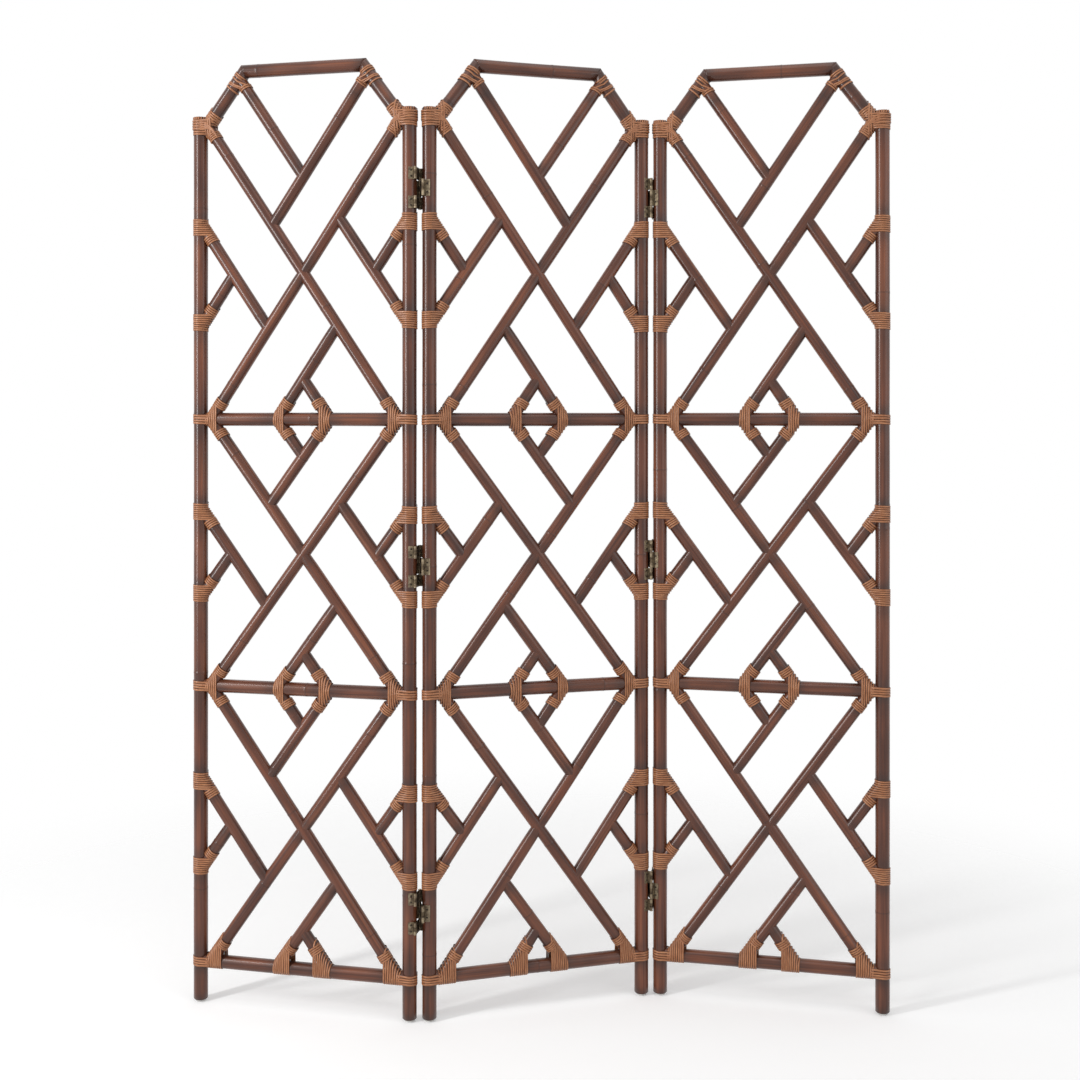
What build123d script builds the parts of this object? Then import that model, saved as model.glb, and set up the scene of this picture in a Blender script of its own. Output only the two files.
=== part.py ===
from build123d import *
from collections import namedtuple
import math
import os

os.makedirs("parts", exist_ok=True)

# Rattan room divider: three lattice panels in a zigzag, joined by two-way hinges.
# Millimetres, +Z up. The origin is on the floor, at the middle of the screen's outline.
# Each panel is drawn flat in its own frame: X along the panel, its front towards -Y.

# Driving sizes of a panel
screen_height = 1830
post_top = 1730
panel_width = 457
post_radius = 13.75
rail_radius = 13
lattice_radius = 11.5
upper_rail_height = 1140
lower_rail_height = 619
bottom_rail_height = 80
top_rail_half_length = 121.5
shoulder_foot_height = 1692
post_foot_bevel = 2
glide_radius = 9.7
glide_height = 4
glide_edge = 1.2
glide_stem_radius = 2
glide_stem_length = 14

# Where the lattice meets the frame
main_foot_from_middle = 192
top_bay_crossing = 1422
knot_from_middle = 53
top_filler_from_middle = 132
side_joint_spread = (93, 80, 83)
side_joint_drop = 10

# Clearances between pieces that meet
cope_fit = 0.15
mitre_gap = 0.1
stem_fit = 0.1

# Peel bindings
peel_thickness = 1.4
peel_fit = 0.15
side_binding_height = 37
side_binding_reach = 28
rail_binding_height = 24
rail_binding_reach = 40
knot_binding_width = 22
knot_binding_shift = 7
knot_binding_reach = 44
post_top_binding_height = 33
shoulder_binding_reach = 59
main_top_binding_reach = 36
corner_bands = ((8, 19), (38, 45))
filler_band = (22, 29)

# Nails that hold rails and side fillers to the posts, under the bindings
frame_nail_radius = 1.2
frame_nail_head_radius = 2.6
frame_nail_head_height = 0.9
frame_nail_sink = 0.3
rail_nail_length = 60
side_nail_length = 39
nail_fit = 0.05
nail_hole_mouth = 1.2

# Two-way hinges
hinge_heights = (1578, 862, 207)
end_leaf_height = 23
middle_leaf_height = 31
leaf_gap = 0.5
leaf_width = 11
leaf_thickness = 1.3
leaf_seat = 12.6
leaf_angle = 60
leaf_fit = 0.1
pin_offset = 14
pin_radius = 1.5
pin_fit = 0.04
barrel_radius = 2.9
knuckle_share = 1 / 3
knuckle_gap = 0.3
link_thickness = 1.6
link_clearance = 0.5
leaf_nail_radius = 0.9
leaf_nail_head_radius = 1.8
leaf_nail_head_height = 0.7
leaf_nail_length = 9

# How the screen stands
post_spacing_when_flat = 31.2
rest_turn = 15

# Places worked out from the driving sizes
post_from_middle = panel_width / 2 - post_radius
top_rail_height = screen_height - rail_radius
pin_from_middle = post_from_middle + post_spacing_when_flat / 2
peel_spare = peel_fit + peel_thickness
leaf_heights = (end_leaf_height, middle_leaf_height, end_leaf_height)
leaf_lift = (end_leaf_height + middle_leaf_height) / 2 + leaf_gap

# A pole runs between two points of the panel's plane, each given as (x, z)
Pole = namedtuple("Pole", "start end radius")


def along(pole, distance):
    """The point on a pole's axis at a distance from its start."""
    run = Vector(*pole.end) - Vector(*pole.start)
    point = Vector(*pole.start) + run.normalized() * distance
    return (point.X, point.Y)


def crossing(point_a, slope_a, point_b, slope_b):
    """Where two lines of the panel's plane meet, each given by a point and a slope."""
    x = (point_b[1] - point_a[1] + slope_a * point_a[0] - slope_b * point_b[0]) / (slope_a - slope_b)
    return (x, point_a[1] + slope_a * (x - point_a[0]))


def rod(pole, spare=0.0):
    """The plain round bar of a pole, made larger by spare."""
    foot = Vector(pole.start[0], 0, pole.start[1])
    head = Vector(pole.end[0], 0, pole.end[1])
    with BuildPart() as bar:
        with BuildSketch(Plane(origin=foot, z_dir=head - foot)):
            Circle(pole.radius + spare)
        extrude(amount=(head - foot).length)
    return bar.part


def coped(pole, hosts):
    """A pole whose ends are hollowed to fit the poles that it butts against."""
    with BuildPart() as piece:
        add(rod(pole))
        add([rod(host, cope_fit) for host in hosts], mode=Mode.SUBTRACT)
    return piece.part


def frame_poles():
    """The posts and rails of one panel."""
    poles = {}
    for side, sign in (("left", -1), ("right", 1)):
        x = sign * post_from_middle
        poles[side + "_post"] = Pole((x, glide_height), (x, post_top), post_radius)
        poles[side + "_shoulder"] = Pole(
            (x, shoulder_foot_height), (sign * top_rail_half_length, top_rail_height), rail_radius)
    rails = (("upper", upper_rail_height), ("lower", lower_rail_height), ("bottom", bottom_rail_height))
    for name, height in rails:
        poles[name + "_rail"] = Pole(
            (-post_from_middle, height), (post_from_middle, height), rail_radius)
    poles["top_rail"] = Pole(
        (-top_rail_half_length, top_rail_height), (top_rail_half_length, top_rail_height), rail_radius)
    return poles


def tall(post):
    """A post carried on past its ends, so that a cut by it leaves nothing above it."""
    reach = 2 * post.radius
    return Pole((post.start[0], post.start[1] - reach), (post.end[0], post.end[1] + reach), post.radius)


# A bay runs between the poles below and above it. main_top is where a main ends on the right
Bay = namedtuple("Bay", "below above middle slope main_top spread")


def bays():
    """The three lattice bays from the top down, each with its crossing and its slope."""
    shoulder_slope = (top_rail_height - shoulder_foot_height) / (top_rail_half_length - post_from_middle)
    top_slope = (top_bay_crossing - upper_rail_height) / main_foot_from_middle
    main_top = crossing((0, top_bay_crossing), top_slope,
                        (post_from_middle, shoulder_foot_height), shoulder_slope)
    rails = (("upper_rail", upper_rail_height), ("lower_rail", lower_rail_height),
             ("bottom_rail", bottom_rail_height))
    made = [Bay("upper_rail", "shoulder", top_bay_crossing, top_slope, main_top, side_joint_spread[0])]
    for (above, high), (below, low), spread in zip(rails, rails[1:], side_joint_spread[1:]):
        slope = (high - low) / (2 * main_foot_from_middle)
        top = (main_foot_from_middle, high)
        made.append(Bay(below, above, (high + low) / 2, slope, top, spread))
    return made


def hosts_above(frame, bay):
    """The poles over a bay that its ends butt against, on the left (-1) and on the right (1)."""
    if bay.above == "shoulder":
        return {-1: [frame["left_shoulder"], frame["top_rail"]],
                1: [frame["right_shoulder"], frame["top_rail"]]}
    return {-1: [frame[bay.above]], 1: [frame[bay.above]]}


def main_poles(frame, bay):
    """The two corner-to-corner lines of a bay, by the sign of their slope."""
    low = frame[bay.below].start[1]
    return {sign: Pole((-sign * main_foot_from_middle, low), (sign * bay.main_top[0], bay.main_top[1]),
                       lattice_radius) for sign in (1, -1)}


def main_pieces(frame, bay, through):
    """One main whole and the other in two halves; through is the whole one's slope sign."""
    mains = main_poles(frame, bay)
    whole, split = mains[through], mains[-through]
    posts = {1: tall(frame["right_post"]), -1: tall(frame["left_post"])}
    above = hosts_above(frame, bay)
    low = frame[bay.below]
    centre = (0, bay.middle)
    return [coped(whole, [low, posts[-1], posts[1]] + above[through]),
            coped(Pole(split.start, centre, lattice_radius), [low, posts[through], whole]),
            coped(Pole(split.end, centre, lattice_radius), [posts[-through], whole] + above[-through])]


def filler_poles(frame, bay):
    """The eight fillers of a bay. Each comes with the poles that its ends butt against."""
    mains = main_poles(frame, bay)
    above = hosts_above(frame, bay)
    low = frame[bay.below]
    low_height = low.start[1]
    if bay.above == "shoulder":
        shoulder = frame["right_shoulder"]
        rise = (shoulder.end[1] - shoulder.start[1]) / (shoulder.end[0] - shoulder.start[0])
        knot_height = shoulder.end[1] + rise * (top_filler_from_middle - shoulder.end[0])
        knot = (top_filler_from_middle, knot_height)
    else:
        knot = (knot_from_middle, frame[bay.above].start[1])
    made = []

    def filler(start, slope, target, hosts):
        """A filler from a joint to the pole that stops it."""
        rise = (target.end[1] - target.start[1]) / (target.end[0] - target.start[0])
        pole = Pole(start, crossing(start, slope, target.start, rise), lattice_radius)
        made.append((pole, hosts + [target]))
        return pole

    # From the rail or shoulders above: the long one, then the short one that stops on it
    long_one = filler(knot, bay.slope, mains[-1], above[1])
    filler((-knot[0], knot[1]), -bay.slope, long_one, above[-1])
    # From each post: the long one, then the short one that stops on it
    joint_rise = bay.spread - side_joint_drop + post_radius * bay.slope
    for sign, side in ((1, "right"), (-1, "left")):
        post = frame[side + "_post"]
        first = (sign * post_from_middle, bay.middle - sign * joint_rise)
        second = (sign * post_from_middle, bay.middle + sign * joint_rise)
        long_one = filler(first, -bay.slope, mains[1], [post])
        filler(second, bay.slope, long_one, [post])
    # From the rail below: the long one, then the short one that stops on it
    long_one = filler((-knot_from_middle, low_height), bay.slope, mains[-1], [low])
    filler((knot_from_middle, low_height), -bay.slope, long_one, [low])
    return made


def binding(spans):
    """Peel over stretches of poles that meet: spans are (pole, from, to) along each axis."""
    reach = 4 * post_radius
    stretches = [Pole(along(pole, low), along(pole, high), pole.radius) for pole, low, high in spans]
    cores = [Pole(along(pole, low - reach), along(pole, high + reach), pole.radius)
             for pole, low, high in spans]
    with BuildPart() as wrap:
        add([rod(stretch, peel_spare) for stretch in stretches])
        add([rod(core, peel_fit) for core in cores], mode=Mode.SUBTRACT)
    return wrap.part


def band(pole, low, high, neighbours):
    """A short band of peel on one pole, open where a neighbour stands in its way."""
    stretch = Pole(along(pole, low), along(pole, high), pole.radius)
    with BuildPart() as ring:
        add(rod(stretch, peel_spare))
        add([rod(core, peel_fit) for core in [pole] + neighbours], mode=Mode.SUBTRACT)
    return ring.part


def post_span(post, height, size):
    """The stretch of a post that a binding of this size covers, centred at a height."""
    return (post, height - post.start[1] - size / 2, height - post.start[1] + size / 2)


def flipped(pole):
    return Pole(pole.end, pole.start, pole.radius)


def side_bindings(frame, bay, fillers):
    """The bindings of a bay where its fillers meet the posts."""
    made = []
    for sign, side in ((-1, "left"), (1, "right")):
        post = frame[side + "_post"]
        for pole, hosts in fillers:
            if hosts[0] is post:
                height = bay.middle + math.copysign(bay.spread, pole.start[1] - bay.middle)
                reach = post_radius * math.hypot(1, bay.slope) + side_binding_reach
                made.append(binding([post_span(post, height, side_binding_height), (pole, 0, reach)]))
    return made


def rail_bindings(frame, rail, poles):
    """The bindings where mains and fillers meet a level rail, at its ends and at its two knots."""
    height = rail.start[1]
    ends = [end for pole in poles for end in (pole, flipped(pole)) if math.isclose(end.start[1], height)]
    made = []
    for sign, side in ((-1, "left"), (1, "right")):
        post = frame[side + "_post"]
        from_end = rail if sign < 0 else flipped(rail)
        corner = [(pole, 0, knot_binding_reach) for pole in ends
                  if math.isclose(pole.start[0], sign * main_foot_from_middle)]
        made.append(binding([post_span(post, height, rail_binding_height),
                             (from_end, 0, rail_binding_reach)] + corner))
        knot = [(pole, 0, knot_binding_reach) for pole in ends
                if math.isclose(pole.start[0], sign * knot_from_middle)]
        place = post_from_middle + sign * (knot_from_middle - knot_binding_shift)
        made.append(binding([(rail, place - knot_binding_width / 2, place + knot_binding_width / 2)] + knot))
    return made


def top_bindings(frame, bay, fillers):
    """The bindings at the post tops and the bands at the ends of the top rail."""
    made = []
    mains = main_poles(frame, bay)
    for sign, side, filler in ((-1, "left", fillers[1][0]), (1, "right", fillers[0][0])):
        post = frame[side + "_post"]
        shoulder = frame[side + "_shoulder"]
        top = post_span(post, post_top - post_top_binding_height / 2, post_top_binding_height)
        made.append(binding([top, (shoulder, 0, shoulder_binding_reach),
                             (flipped(mains[sign]), 0, main_top_binding_reach)]))
        from_corner = flipped(shoulder)
        for low, high in corner_bands:
            made.append(band(from_corner, low, high, [filler, frame["top_rail"]]))
        made.append(band(filler, filler_band[0], filler_band[1], [shoulder]))
    return made


def mitred(pole, corner, across):
    """A top rail or shoulder cut off on the slant at a corner of the top.

    across points along the cut's face normal, away from the piece that stays.
    """
    run = Vector(*pole.end) - Vector(*pole.start)
    long_pole = Pole(pole.start, along(pole, run.length + 2 * pole.radius), pole.radius)
    normal = Vector(across[0], 0, across[1]).normalized()
    face = Plane(origin=Vector(corner[0], 0, corner[1]) - normal * (mitre_gap / 2), z_dir=normal)
    with BuildPart() as piece:
        add(rod(long_pole))
        split(bisect_by=face, keep=Keep.BOTTOM)
    return piece.part


def cut_normal(pole, other):
    """The normal of the mitre between two poles that end at one corner, away from the first."""
    own = (Vector(*pole.end) - Vector(*pole.start)).normalized()
    its = (Vector(*other.end) - Vector(*other.start)).normalized()
    return (own.X - its.X, own.Y - its.Y)


def nail(start, direction, length, radius, head_radius, head_height):
    """A nail from its head's outer face, pointing along a direction."""
    with BuildPart() as pin:
        with BuildSketch(Plane(origin=start, z_dir=direction)):
            Circle(head_radius)
        extrude(amount=head_height)
        with BuildSketch(Plane(origin=start, z_dir=direction)):
            Circle(radius)
        extrude(amount=length)
    return pin.part


Nail = namedtuple("Nail", "start direction length radius head_radius head_height")


def nail_hole(spec, fit):
    """The hole for a nail, with room round its shank and its head."""
    start = spec.start - spec.direction * nail_hole_mouth
    return nail(start, spec.direction, spec.length + nail_hole_mouth + fit, spec.radius + fit,
                spec.head_radius + fit, spec.head_height + nail_hole_mouth + fit)


def frame_nails(frame, rows):
    """Nails through the posts into the rails and the side fillers."""
    specs = []
    for sign in (-1, 1):
        face = sign * (post_from_middle + post_radius - frame_nail_sink)
        inward = Vector(-sign, 0, 0)
        for rail_name in ("upper_rail", "lower_rail", "bottom_rail"):
            height = frame[rail_name].start[1]
            specs.append(Nail(Vector(face, 0, height), inward, rail_nail_length, frame_nail_radius,
                              frame_nail_head_radius, frame_nail_head_height))
        for bay in rows:
            for up in (-1, 1):
                height = bay.middle + up * (bay.spread - side_joint_drop)
                specs.append(Nail(Vector(face, 0, height), inward, side_nail_length, frame_nail_radius,
                                  frame_nail_head_radius, frame_nail_head_height))
    return specs


# Hinge pieces are drawn where the gap's middle line is x = 0, the post of the left panel at -X


def leaf_levels(hinge_height):
    """The heights of the three leaves of a hinge, from the top down."""
    return [hinge_height + leaf_lift, hinge_height, hinge_height - leaf_lift]


def leaf_frame(side, face):
    """The seat of a leaf: the post's centre, its outward direction and the direction along it."""
    angle = math.radians(leaf_angle)
    post = Vector(side * post_spacing_when_flat / 2, 0, 0)
    outward = Vector(-side * math.cos(angle), face * math.sin(angle), 0)
    return post, outward


def leaf(side, face, height, level):
    """One leaf: a plate let into the post, a bend, and a barrel with room for the link's knuckle.

    side is -1 on the left panel and 1 on the right one; face is -1 at the front and 1 behind.
    """
    post, outward = leaf_frame(side, face)
    middle = post + outward * (leaf_seat + leaf_thickness / 2)
    barrel = Vector(0, face * pin_offset, 0)
    inward = Vector(-outward.Y, outward.X, 0)
    if inward.dot(barrel - middle) < 0:
        inward = inward * -1
    inner_end = middle + inward * (leaf_width / 2)
    bend = barrel - inner_end
    plate_turn = math.degrees(math.atan2(inward.Y, inward.X))
    bend_turn = math.degrees(math.atan2(bend.Y, bend.X))
    bend_middle = inner_end + bend * 0.5
    base = Plane.XY.offset(level - height / 2)
    knuckle = height * knuckle_share
    with BuildPart() as piece:
        with BuildSketch(base):
            with Locations(Location((middle.X, middle.Y, 0), (0, 0, plate_turn))):
                Rectangle(leaf_width, leaf_thickness)
            with Locations(Location((bend_middle.X, bend_middle.Y, 0), (0, 0, bend_turn))):
                Rectangle(bend.length, leaf_thickness)
            with Locations((barrel.X, barrel.Y)):
                Circle(barrel_radius)
        extrude(amount=height)
        with BuildSketch(base):
            with Locations((barrel.X, barrel.Y)):
                Circle(pin_radius + pin_fit)
        extrude(amount=height, mode=Mode.SUBTRACT)
        with BuildSketch(Plane.XY.offset(level - knuckle / 2 - knuckle_gap)):
            with Locations((barrel.X, barrel.Y)):
                Circle(barrel_radius + link_clearance)
        extrude(amount=knuckle + 2 * knuckle_gap, mode=Mode.SUBTRACT)
        for spec in leaf_nails(side, face, height, level):
            add(nail_hole(spec, nail_fit), mode=Mode.SUBTRACT)
    return piece.part


def leaf_nails(side, face, height, level):
    """The two nails of a leaf."""
    post, outward = leaf_frame(side, face)
    top = post + outward * (leaf_seat + leaf_thickness + leaf_nail_head_height / 2)
    return [Nail(top + Vector(0, 0, level + lift), outward * -1, leaf_nail_length, leaf_nail_radius,
                 leaf_nail_head_radius, leaf_nail_head_height) for lift in (-height / 4, height / 4)]


def leaf_pocket(side, face, height, level):
    """The flat cut in the post that a leaf lies on."""
    post, outward = leaf_frame(side, face)
    seat = post + outward * (leaf_seat - leaf_fit) + Vector(0, 0, level)
    with BuildPart() as cut:
        with BuildSketch(Plane(origin=seat, x_dir=Vector(0, 0, 1), z_dir=outward)):
            Rectangle(height + 2 * leaf_fit, 2 * post_radius)
        extrude(amount=post_radius)
    return cut.part


def link(height, level):
    """A link: a plate across the gap with a knuckle on a front pin and one on a rear pin."""
    knuckle = height * knuckle_share
    plate_depth = 2 * (pin_offset - barrel_radius - link_clearance)
    with BuildPart() as piece:
        with BuildSketch(Plane.XY.offset(level - height / 2)):
            Rectangle(link_thickness, plate_depth)
        extrude(amount=height)
        with BuildSketch(Plane.XY.offset(level - knuckle / 2)):
            Rectangle(link_thickness, 2 * pin_offset)
            with Locations((0, pin_offset), (0, -pin_offset)):
                Circle(barrel_radius)
        extrude(amount=knuckle)
        with BuildSketch(Plane.XY.offset(level - knuckle / 2)):
            with Locations((0, pin_offset), (0, -pin_offset)):
                Circle(pin_radius + pin_fit)
        extrude(amount=knuckle, mode=Mode.SUBTRACT)
    return piece.part


def hinge_pin(face, height, level):
    """A short pin through one leaf and one knuckle of a link."""
    with BuildPart() as pin:
        with BuildSketch(Plane.XY.offset(level - height / 2)):
            with Locations((0, face * pin_offset)):
                Circle(pin_radius)
        extrude(amount=height)
    return pin.part


def leaf_faces(side):
    """The face that each leaf of a hinge lies on, from the top down."""
    return (-1, 1, -1) if side < 0 else (1, -1, 1)


def hinge_side(side, links):
    """One panel's pieces of a gap's three hinges, moved to that panel's own frame."""
    place = Location((-side * pin_from_middle, 0, 0))
    made = {"hinge_leaves": [], "hinge_pins": [], "hinge_nails": [], "hinge_links": [], "pockets": []}
    for hinge_height in hinge_heights:
        for slot, (level, height) in enumerate(zip(leaf_levels(hinge_height), leaf_heights)):
            face = leaf_faces(side)[slot]
            made["hinge_leaves"].append(place * leaf(side, face, height, level))
            made["hinge_pins"].append(place * hinge_pin(face, height, level))
            made["pockets"].append(place * leaf_pocket(side, face, height, level))
            for spec in leaf_nails(side, face, height, level):
                made["hinge_nails"].append(place * nail(*spec))
                made["pockets"].append(place * nail_hole(spec, nail_fit))
            if slot in links:
                made["hinge_links"].append(place * link(height, level))
    return made


def post_piece(pole, cuts):
    """A post with its bevelled foot, the socket for its glide, and the cuts for nails and leaves."""
    with BuildPart() as piece:
        add(rod(pole))
        foot_edge = piece.edges().group_by(Axis.Z)[0]
        chamfer(foot_edge, length=post_foot_bevel)
        with BuildSketch(Plane.XY.offset(pole.start[1])):
            with Locations((pole.start[0], 0)):
                Circle(glide_stem_radius + stem_fit)
        extrude(amount=glide_stem_length + stem_fit, mode=Mode.SUBTRACT)
        add(cuts, mode=Mode.SUBTRACT)
    return piece.part


def glide(x):
    """A round glide under a post, with a stem that is driven into it."""
    with BuildPart() as foot:
        with BuildSketch(Plane.XY):
            with Locations((x, 0)):
                Circle(glide_radius)
        extrude(amount=glide_height)
        fillet(foot.edges().group_by(Axis.Z)[0], radius=glide_edge)
        with BuildSketch(Plane.XY.offset(glide_height)):
            with Locations((x, 0)):
                Circle(glide_stem_radius)
        extrude(amount=glide_stem_length)
    return foot.part


def drilled(piece, specs):
    """A piece with the holes of the nails that enter it."""
    box = piece.bounding_box()
    with BuildPart() as done:
        add(piece)
        for spec in specs:
            tip = spec.start + spec.direction * spec.length
            if box.min.X - 1 < tip.X < box.max.X + 1 and box.min.Z < tip.Z < box.max.Z:
                add(nail_hole(spec, nail_fit), mode=Mode.SUBTRACT)
    return done.part


def shared_pieces():
    """The pieces that are the same on every panel, or the mirror image on the middle one."""
    frame = frame_poles()
    rows = bays()
    specs = frame_nails(frame, rows)
    posts = [tall(frame["left_post"]), tall(frame["right_post"])]
    nodes = {}
    for name in ("upper_rail", "lower_rail", "bottom_rail"):
        nodes[name] = [drilled(coped(frame[name], posts), specs)]
    top_rail = frame["top_rail"]
    shoulders = {-1: frame["left_shoulder"], 1: frame["right_shoulder"]}
    back = flipped(top_rail)
    with BuildPart() as bar:
        add(mitred(top_rail, top_rail.end, cut_normal(top_rail, shoulders[1])))
        add(mitred(back, back.end, cut_normal(back, shoulders[-1])), mode=Mode.INTERSECT)
    nodes["top_rail"] = [bar.part]
    nodes["shoulder_rails"] = []
    for sign, post, toward in ((-1, posts[0], back), (1, posts[1], top_rail)):
        with BuildPart() as shoulder:
            add(mitred(shoulders[sign], shoulders[sign].end, cut_normal(shoulders[sign], toward)))
            add(rod(post, cope_fit), mode=Mode.SUBTRACT)
        nodes["shoulder_rails"].append(shoulder.part)
    fillers = [filler_poles(frame, bay) for bay in rows]
    for bay_name, row in zip(("top", "middle", "bottom"), fillers):
        nodes[bay_name + "_fillers"] = [drilled(coped(pole, hosts), specs) for pole, hosts in row]
    nodes["post_bindings"] = []
    for bay, row in zip(rows, fillers):
        nodes["post_bindings"] += side_bindings(frame, bay, row)
    lines = [pole for bay in rows for pole in main_poles(frame, bay).values()]
    lines += [pole for row in fillers for pole, hosts in row]
    nodes["rail_bindings"] = []
    for name in ("upper_rail", "lower_rail", "bottom_rail"):
        nodes["rail_bindings"] += rail_bindings(frame, frame[name], lines)
    nodes["top_bindings"] = top_bindings(frame, rows[0], fillers[0])
    nodes["frame_nails"] = [nail(*spec) for spec in specs]
    nodes["glides"] = [glide(sign * post_from_middle) for sign in (-1, 1)]
    return nodes


def own_pieces(through, sides):
    """The pieces that differ from panel to panel: posts, mains and hinges."""
    frame = frame_poles()
    rows = bays()
    hinges = {side: hinge_side(side, links) for side, links in sides}
    nodes = {}
    for name, sign in (("left", -1), ("right", 1)):
        cuts = [nail_hole(spec, nail_fit) for spec in frame_nails(frame, rows) if spec.start.X * sign > 0]
        if -sign in hinges:
            cuts += hinges[-sign]["pockets"]
        nodes[name + "_post"] = [post_piece(frame[name + "_post"], cuts)]
    nodes["main_diagonals"] = []
    for bay, sign in zip(rows, through):
        nodes["main_diagonals"] += main_pieces(frame, bay, sign)
    for kind in ("hinge_leaves", "hinge_pins", "hinge_nails", "hinge_links"):
        nodes[kind] = [piece for made in hinges.values() for piece in made[kind]]
    return nodes


# Where each panel stands at rest. The left gap turns about its rear pins, the right gap about its front ones
middle_place = Location((0, 0, 0), (0, 0, rest_turn))


def neighbour_place(side):
    """The place of the panel beside the middle one, with its turning pins on the middle panel's pins."""
    pin = Vector(side * pin_from_middle, -side * pin_offset, 0)
    own_pin = Vector(-side * pin_from_middle, -side * pin_offset, 0)
    shared = pin.rotate(Axis.Z, rest_turn)
    origin = shared - own_pin.rotate(Axis.Z, -rest_turn)
    return Location((origin.X, origin.Y, 0), (0, 0, -rest_turn))


# Each panel: its place, whether it is mirrored, the slope of the whole main of each bay from the
# top down, and its hinged sides with the links that go with it there
outer_links = (0, 2)
inner_links = (1,)
panels = {
    "left": (neighbour_place(-1), False, (-1, 1, -1), [(-1, outer_links)]),
    "middle": (middle_place, True, (-1, -1, -1), [(1, inner_links), (-1, inner_links)]),
    "right": (neighbour_place(1), False, (-1, 1, -1), [(1, outer_links)]),
}
shared = shared_pieces()

for panel_name, (place, mirrored, through, sides) in panels.items():
    nodes = own_pieces(through, sides)
    for node_name, pieces in shared.items():
        nodes[node_name] = [piece.mirror(Plane.YZ) for piece in pieces] if mirrored else pieces
    for node_name, pieces in nodes.items():
        with BuildPart() as node:
            add([place * piece for piece in pieces])
        node.part.label = panel_name + "_" + node_name
        export_step(node.part, "parts/" + node.part.label + ".step")

left_pin = (Vector(-pin_from_middle, pin_offset, 0)).rotate(Axis.Z, rest_turn)
print("left gap turns at", round(left_pin.X, 4), round(left_pin.Y, 4))
right_pin = (Vector(pin_from_middle, -pin_offset, 0)).rotate(Axis.Z, rest_turn)
print("right gap turns at", round(right_pin.X, 4), round(right_pin.Y, 4))
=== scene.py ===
import math
import random
from collections import namedtuple

import bmesh
import bpy
from mathutils import Matrix, Vector, noise


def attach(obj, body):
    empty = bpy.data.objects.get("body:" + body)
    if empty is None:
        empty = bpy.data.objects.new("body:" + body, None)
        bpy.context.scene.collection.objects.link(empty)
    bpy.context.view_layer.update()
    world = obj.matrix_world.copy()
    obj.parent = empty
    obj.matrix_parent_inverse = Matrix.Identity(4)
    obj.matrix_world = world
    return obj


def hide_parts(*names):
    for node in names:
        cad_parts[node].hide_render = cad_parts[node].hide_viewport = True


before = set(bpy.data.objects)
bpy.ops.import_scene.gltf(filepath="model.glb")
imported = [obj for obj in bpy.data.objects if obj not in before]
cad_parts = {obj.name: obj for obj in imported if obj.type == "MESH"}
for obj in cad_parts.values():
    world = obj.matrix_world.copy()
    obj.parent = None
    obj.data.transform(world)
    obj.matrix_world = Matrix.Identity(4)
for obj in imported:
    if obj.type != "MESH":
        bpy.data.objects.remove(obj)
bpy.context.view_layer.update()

# Sizes of a panel, in metres. X runs along the panel, its front towards -Y
POST_X = 0.21475
POST_R = 0.01375
RAIL_R = 0.013
CANE_R = 0.0115
POST_FOOT, POST_TOP = 0.004, 1.730
UPPER, LOWER, BOTTOM = 1.140, 0.619, 0.080
TOP_Z = 1.817
CORNER_X = 0.1215
SHOULDER_FOOT = 1.692
MAIN_FOOT_X = 0.192
TOP_CROSSING = 1.422
KNOT_X = 0.053
TOP_FILLER_X = 0.132
# The joints of the side fillers: how far they lie from the middle of each bay, and how much
# nearer to it a filler's axis is at the face of its post
SIDE_SPREAD = (0.093, 0.080, 0.083)
SIDE_DROP = 0.010
FOOT_BEVEL = 0.002
# How much thinner a cane is at its start and its end, where it sinks into another
BUTT_PARING = (0, 0.0007)
FOOT_PARING = (0.0030, 0)
# How much longer the top poles are drawn at each end before their mitres are cut
MITRE_SPARE = 0.03

# Peel strips
PEEL_THICK = 0.0014
PEEL_SIDES = 8
STRAND_WIDTH = 0.0038
HEAD_STRIP_WIDTH = 0.0042
# From turn to turn: on one cane, over a joint, at a rail's root, on a post's head and on
# a shoulder
PEEL_PITCH = 0.0042
JOINT_PITCH = 0.0041
ROOT_PITCH = 0.0044
HEAD_PITCH = 0.0046
SHOULDER_PITCH = 0.0040
# How far from a post's axis a binding still runs over the root of a rail
ROOT_REACH = 0.0195
# Where a strip is bent in a turn, in degrees: evenly round one pole, and closer
# together where it leaves the host for a guest
EVEN_TURN = tuple(range(0, 360, 18))
QUARTER = (0, 20, 42, 60, 74, 83, 87)
WIDE_TURN = tuple(sorted(quarter + (angle if quarter % 180 == 0 else 90 - angle)
                         for quarter in (0, 90, 180, 270) for angle in QUARTER))
# How wide the bindings over a side joint and over a rail's root are
SIDE_BAND = 0.037
ROOT_BAND = 0.024
# Where the others begin and end: a collar on a side filler from the axis of its post at the
# post's face, the band on a post's head below its top, and the rest along their own pole
SIDE_COLLAR = (0.007, 0.028)
HEAD_BAND = (0.0365, 0.001)
SHOULDER_COLLAR = (0.0375, 0.059)
MAIN_COLLAR = (0.0165, 0.036)
LEVEL_BAND = (0.0120, 0.030)
CORNER_BAND = (0.0070, 0.0195)
LOWER_BAND = (0.0380, 0.0465)
FILLER_COLLAR = (0.0165, 0.0295)
# The bindings along a level rail: where their canes stand, how far outside them the turns
# begin, how wide the turns are, and how far along the canes the collars reach
RailBinding = namedtuple("RailBinding", "foot before width reach")
RAIL_COLLAR = 0.0205
RAIL_BINDINGS = (RailBinding(MAIN_FOOT_X, 0.0092, 0.0280, 0.047),
                 RailBinding(KNOT_X, 0.0075, 0.0265, 0.046))
LOWEST_BINDINGS = (RailBinding(MAIN_FOOT_X, 0.0092, 0.038, 0.056),
                   RailBinding(KNOT_X, 0.0075, 0.039, 0.058))
# Strips over the flat head of a post, as shares of its radius
HEAD_STRIPS = (-0.72, -0.42, -0.12, 0.18, 0.48, 0.76)
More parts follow.
